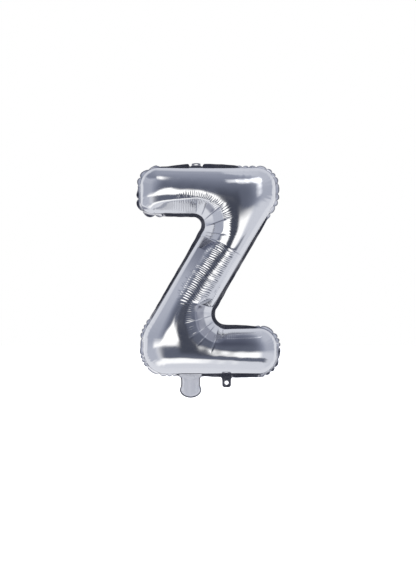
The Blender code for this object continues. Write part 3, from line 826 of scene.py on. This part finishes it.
def foil(name, colour, shade, rough, rough_range, grain, bump, metallic=1.0, fold=0.9, painted_shade_colour=(0.004, 0.014, 0.085)):
    """Metallised film: slightly uneven tone and gloss, a very fine skin texture, painted shade in its creases, hollows
    and edges, and a darker painted tone on the border's straight runs.
    """
    mat = bpy.data.materials.new(name)
    nodes, links, shader = nodes_of(mat)
    shader.inputs["Metallic"].default_value = metallic
    where = nodes.new("ShaderNodeTexCoord")
    slow = nodes.new("ShaderNodeTexNoise")
    slow.inputs["Scale"].default_value = 26.0
    slow.inputs["Detail"].default_value = 3.0
    links.new(where.outputs["Object"], slow.inputs["Vector"])
    tone = nodes.new("ShaderNodeMixRGB")
    tone.inputs["Color1"].default_value = (*colour, 1)
    tone.inputs["Color2"].default_value = (*shade, 1)
    links.new(slow.outputs["Fac"], tone.inputs["Fac"])
    # painted shade: the attribute darkens the colour towards a dark navy inside creases, in hollows and along edges
    # where shade falls
    painted_shade = nodes.new("ShaderNodeAttribute")
    painted_shade.attribute_name = "painted_shade"
    depth = nodes.new("ShaderNodeMath")
    depth.operation = "MULTIPLY"
    depth.inputs[1].default_value = fold
    links.new(painted_shade.outputs["Fac"], depth.inputs[0])
    painted_shade_mix = nodes.new("ShaderNodeMixRGB")
    painted_shade_mix.inputs["Color2"].default_value = (*painted_shade_colour, 1)
    links.new(depth.outputs[0], painted_shade_mix.inputs["Fac"])
    # painted dark reflection: the border's flat straight runs are painted a darker grey, standing in for the dark room
    # they face
    plain = nodes.new("ShaderNodeAttribute")
    plain.attribute_name = "calm"
    flat = nodes.new("ShaderNodeMixRGB")
    flat.inputs["Color2"].default_value = (0.26, 0.26, 0.29, 1)
    links.new(plain.outputs["Fac"], flat.inputs["Fac"])
    links.new(tone.outputs["Color"], flat.inputs["Color1"])
    links.new(flat.outputs["Color"], painted_shade_mix.inputs["Color1"])
    links.new(painted_shade_mix.outputs["Color"], shader.inputs["Base Color"])
    fine = nodes.new("ShaderNodeTexNoise")
    fine.inputs["Scale"].default_value = grain
    fine.inputs["Detail"].default_value = 4.0
    links.new(where.outputs["Object"], fine.inputs["Vector"])
    gloss = nodes.new("ShaderNodeMapRange")
    gloss.inputs["To Min"].default_value = rough
    gloss.inputs["To Max"].default_value = rough + rough_range
    links.new(fine.outputs["Fac"], gloss.inputs["Value"])
    links.new(gloss.outputs["Result"], shader.inputs["Roughness"])
    skin = nodes.new("ShaderNodeBump")
    skin.inputs["Strength"].default_value = 1.0
    skin.inputs["Distance"].default_value = bump
    links.new(fine.outputs["Fac"], skin.inputs["Height"])
    links.new(skin.outputs["Normal"], shader.inputs["Normal"])
    return mat


FOIL = foil("silver_film", (0.77, 0.77, 0.775), (0.73, 0.73, 0.735), 0.07, 0.06, 420.0, 0.000006)
BORDER_FOIL = foil("sealed_film", (0.74, 0.74, 0.76), (0.66, 0.66, 0.68), 0.14, 0.10, 300.0, 0.000003, painted_shade_colour=(0.012, 0.014, 0.035))
# darker copies of the silver film: the tabs are painted dark, standing in for the dark room their flat faces reflect
TAB_FOIL_PAINTED_DARK = foil("tab_film_painted_dark", (0.30, 0.30, 0.33), (0.24, 0.24, 0.27), 0.16, 0.10, 700.0, 0.000012)
TOP_TAB_FOIL_PAINTED_DARK = foil("top_tab_film_painted_dark", (0.12, 0.12, 0.14), (0.09, 0.09, 0.11), 0.16, 0.10, 700.0, 0.000012)
TAIL_FOIL = foil("tail_film", (0.985, 0.985, 1.0), (0.95, 0.955, 0.985), 0.24, 0.10, 260.0, 0.000004, 0.12)
VALVE = foil("valve_plastic", (0.82, 0.83, 0.86), (0.76, 0.77, 0.80), 0.25, 0.1, 500.0, 0.00002, 0.0)


def lie_down(x, s, y):
    """The bottom tab hangs straight down from the border."""
    return np.stack([BOTTOM_TAB_X + x - ORIGIN[0], -y, BOTTOM - FOLD_DROP - s - ORIGIN[1]], 1) * MM


def fold_back(x, s, y):
    """The top tab stands up out of the border and folds back at its root."""
    turn = math.radians(68) * smooth(-0.3, 1.1, s)
    fine = np.linspace(-3, 16, 1901)
    bend = math.radians(68) * smooth(-0.3, 1.1, fine)
    up = np.cumsum(np.cos(bend)) * 0.01
    back = np.cumsum(np.sin(bend)) * 0.01
    z, b = np.interp(s, fine, up - np.interp(0, fine, up)), np.interp(s, fine, back - np.interp(0, fine, back))
    return np.stack([x, b - y * np.cos(turn), z + y * np.sin(turn)], 1) * MM


front = film("front_film", -1, FOIL)
back = film("back_film", 1, FOIL)
rim = border("sealed_border", BORDER_FOIL)
for piece, node, slot in ((front, "front_foil", "silver_foil"), (back, "back_foil", "silver_foil"), (rim, "sealed_rim", "sealed_border")):
    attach(piece, "balloon")
    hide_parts(node)

low_tab = hanging_tab("bottom_tab_sheet", lie_down, -2.6, 15.0, TAB_FOIL_PAINTED_DARK)
high_tab = hanging_tab("top_tab_sheet", fold_back, -0.9, 15.0, TOP_TAB_FOIL_PAINTED_DARK)
for piece, node, body, start, end in (
    (low_tab, "bottom_hanging_tab", "bottom_tab", (0.0458, 0, -0.3159), (0.0458, 0, -0.3169)),
    (high_tab, "top_hanging_tab", "top_tab", (0, 0, -0.0002), (0, 0.00074, 0.0003)),
):
    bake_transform(piece)
    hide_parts(node)

tail_front = tail_film("tail_front_sheet", -1, TAIL_FOIL, BORDER_FOIL)
tail_back = tail_film("tail_back_sheet", 1, TAIL_FOIL, BORDER_FOIL)
for piece, node in ((tail_front, "tail_front_film"), (tail_back, "tail_back_film")):
    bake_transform(piece)
    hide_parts(node)

valve = frame["nodes"]["valve_film"]
for slot in valve.material_slots:
    slot.material = VALVE
for thing in (tail_front, tail_back, valve):  # the film runs into the tail at its root and doesn't mirror it
    thing.visible_glossy = False

# ---------------------------------------------------------------- studio
scene = bpy.context.scene
scene.view_settings.view_transform = "Standard"
sky = bpy.data.worlds.new("studio")
scene.world = sky
sky.use_nodes = True
wn, wl = sky.node_tree.nodes, sky.node_tree.links
for n in list(wn):
    wn.remove(n)


def math_node(kind, a, b=None):
    n = wn.new("ShaderNodeMath")
    n.operation = kind
    for socket, v in zip(n.inputs, (a, b)):
        if isinstance(v, (int, float)):
            socket.default_value = v
        elif v is not None:
            wl.new(v, socket)
    return n.outputs[0]


def plus(a, *rest):
    for b in rest:
        a = math_node("ADD", a, b)
    return a


def times(a, *rest):
    for b in rest:
        a = math_node("MULTIPLY", a, b)
    return a


def minus(a, b):
    return math_node("SUBTRACT", a, b)


def rise(value, low, high):
    """Soft step from 0 at low to 1 at high."""
    n = wn.new("ShaderNodeMapRange")
    n.interpolation_type = "SMOOTHSTEP"
    for name, v in (("From Min", low), ("From Max", high), ("Value", value)):
        if isinstance(v, (int, float)):
            n.inputs[name].default_value = v
        else:
            wl.new(v, n.inputs[name])
    return n.outputs["Result"]


def fall(value, low, high):
    return minus(1.0, rise(value, low, high))


def band(value, low, high, soft):
    """1 between low and high."""
    return minus(rise(value, low - soft, low + soft), rise(value, high - soft, high + soft))


def mix(fac, a, b):
    n = wn.new("ShaderNodeMixRGB")
    wl.new(fac, n.inputs["Fac"])
    for socket, v in ((n.inputs["Color1"], a), (n.inputs["Color2"], b)):
        if isinstance(v, tuple):
            socket.default_value = (*v, 1)
        else:
            wl.new(v, socket)
    return n.outputs["Color"]


def tint(level, gain=1.0):
    """Bluish grey of the room for a display level of 0 to 255."""
    k = math.sin(math.pi * level / 255)
    out = []
    for v in (level - 9 * k, level - 4 * k, level + 12 * k):
        v = min(max(v, 0.0), 255.0) / 255
        out.append(gain * (v / 12.92 if v <= 0.04045 else ((v + 0.055) / 1.055) ** 2.4))
    return tuple(out)


def tone(level):
    """The same bluish grey for a level that varies over the room."""
    n = wn.new("ShaderNodeValToRGB")
    stops = n.color_ramp.elements
    while len(stops) < 18:
        stops.new(0.5)
    for i, stop in enumerate(stops):
        stop.position = i / 17
        stop.color = (*tint(255 * i / 17), 1)
    wl.new(times(level, 1 / 255), n.inputs[0])
    return n.outputs["Color"]


where = wn.new("ShaderNodeTexCoord")
axis = wn.new("ShaderNodeSeparateXYZ")
wl.new(where.outputs["Generated"], axis.inputs[0])
dx, dy, dz = axis.outputs
# direction of view in the room, in degrees: up from the horizon, and round from the camera's side to the right
up = times(math_node("ARCSINE", times(dz, 0.99999)), 180 / math.pi)
round_ = times(math_node("ARCTAN2", dx, times(dy, -1.0)), 180 / math.pi)
left = times(round_, -1.0)
aside = math_node("ABSOLUTE", round_)
before = fall(aside, 120, 160)

WHITE = tint(255, 1.1)
# upper half: slate that brightens upward and to both sides
upper = plus(
    98,
    times(50, rise(up, 5, 85)),
    times(72, rise(round_, 14, 60), minus(1.0, times(0.35, rise(up, 30, 70)))),
    times(68, rise(left, 18, 56), minus(1.0, times(0.9, rise(up, 34, 46)))),
)
# lower half: pale floor, a bright strip, a dark one, a bright one, greyer to the sides
second = times(0.8, rise(up, -68, -56), fall(round_, 2, 16), rise(round_, -110, -60))
room = mix(second, tint(210), WHITE)
side_wall = mix(rise(round_, -1, 1), tint(181), tint(204))
turned = plus(up, times(11, rise(round_, 2, 14), before))
dark = times(rise(up, -43, -37), fall(turned, -16, -11), fall(round_, 46, 76), fall(left, 28, 64))
room = mix(dark, room, tint(100))
room = mix(times(rise(turned, -52, -38), math_node("MAXIMUM", rise(round_, 56, 84), rise(left, 34, 64))), room, side_wall)
lit = mix(rise(left, 60, 76), mix(rise(round_, 26, 46), WHITE, side_wall), side_wall)
room = mix(rise(turned, -15, -10), room, lit)
room = mix(rise(plus(turned, times(11, rise(left, 10, 24), before)), 0, 11), room, tone(upper))
# the photographer
person = times(band(round_, -9, 11, 3), rise(up, -34, -20), fall(up, 2, 32))
room = mix(person, room, tint(72))
# window high on the left, and a bright wedge low on the left
window_left = times(band(round_, -40, -25, 8), band(up, 42, 56, 7))
slant = plus(round_, 8, times(0.47, plus(up, 7.5)))
other = plus(round_, 17, times(-1.24, plus(up, -11.5)))
wedge = times(rise(up, -11, -6), fall(slant, -3, 3), rise(other, -5, 5))
room = mix(math_node("MINIMUM", plus(window_left, wedge), 1.0), room, tint(255, 1.3))
# pale backdrop behind the balloon; it starts further round above than at the sides
edge = plus(0.30, times(0.12, rise(dz, 0.4, 0.9)), times(-0.2, rise(times(dz, -1.0), 0.3, 0.7)))
behind = rise(minus(dy, edge), plus(-0.08, times(-0.2, rise(dz, 0.5, 0.9))), 0.08)
room = mix(behind, room, tone(plus(215, times(-12, rise(dz, 0.2, 0.6)))))
# far end of the room, which only the back of the balloon faces: slate above, a bright band, a dark one and the floor
far_end = mix(times(rise(up, -23, -19), fall(up, -14, -9)), tint(205), tint(104))
far_end = mix(rise(up, -13, -9), far_end, WHITE)
far_end = mix(rise(up, 1, 9), far_end, tone(plus(112, times(60, rise(up, 8, 40)))))
room = mix(rise(dy, 0.76, 0.92), room, far_end)

shade = wn.new("ShaderNodeBackground")
wl.new(room, shade.inputs["Color"])
shade.inputs["Strength"].default_value = 1 / 0.75  # the film returns about three quarters of the light
plain = wn.new("ShaderNodeBackground")
plain.inputs["Color"].default_value = (1, 1, 1, 1)
plain.inputs["Strength"].default_value = 1.0
ray = wn.new("ShaderNodeLightPath")
choose = wn.new("ShaderNodeMixShader")
out = wn.new("ShaderNodeOutputWorld")
wl.new(ray.outputs["Is Camera Ray"], choose.inputs["Fac"])
wl.new(shade.outputs[0], choose.inputs[1])
wl.new(plain.outputs[0], choose.inputs[2])
wl.new(choose.outputs[0], out.inputs["Surface"])


def softbox(name, aim, azim, elev, wide, tall, strength, spread, distance):
    """A gridded area light aimed at a point of the letter; azimuth 0 is the camera's side, positive to the right."""
    a, e = math.radians(azim), math.radians(elev)
    away = Vector((math.sin(a) * math.cos(e), -math.cos(a) * math.cos(e), math.sin(e)))
    data = bpy.data.lights.new(name, "AREA")
    data.shape = "RECTANGLE"
    data.size, data.size_y = wide, tall
    half = math.radians(spread) / 2
    data.spread = 2 * half
    data.energy = strength * math.pi * wide * tall * (math.tan(half) - half) / math.tan(half)
    light = bpy.data.objects.new(name, data)
    scene.collection.objects.link(light)
    light.location = aim + away * distance
    light.rotation_euler = away.to_track_quat("Z", "Y").to_euler()
    light.visible_camera = False
    return light


# a long gridded softbox, bent round the top right corner of the letter: five panels across and three down its right end
for i, azim in enumerate((7, 18, 29, 40, 51)):
    softbox(f"softbox_right_{i}", world(34 + 11 * i, 130, -22), azim, 47.5, 0.085, 0.190 - 0.015 * abs(i - 3), (1.0, 1.3, 1.4, 1.5, 1.4)[i], 24.0, 0.40)
for i, elev in enumerate((38, 26, 14)):
    softbox(f"strip_right_{i}", world(78, 126 - 5 * i, -22), 44, elev, 0.135, 0.105, (1.4, 1.2, 0.7)[i], 20.0, 0.40)

# pale floor far below the hanging balloon, only seen by the camera
floor_mesh = bpy.data.meshes.new("floor")
floor_mesh.from_pydata([(-30, -30, -1.5), (30, -30, -1.5), (30, 30, -1.5), (-30, 30, -1.5)], [], [(0, 1, 2, 3)])
floor = bpy.data.objects.new("floor", floor_mesh)
scene.collection.objects.link(floor)
pale = bpy.data.materials.new("floor_pale")
nodes, links, shader = nodes_of(pale)
shader.inputs["Base Color"].default_value = (0.95, 0.95, 0.95, 1)
shader.inputs["Roughness"].default_value = 0.9
shader.inputs["Emission Color"].default_value = (1, 1, 1, 1)
shader.inputs["Emission Strength"].default_value = 1.0
floor_mesh.materials.append(pale)
floor.visible_glossy = False
floor.visible_diffuse = False
floor.visible_shadow = False
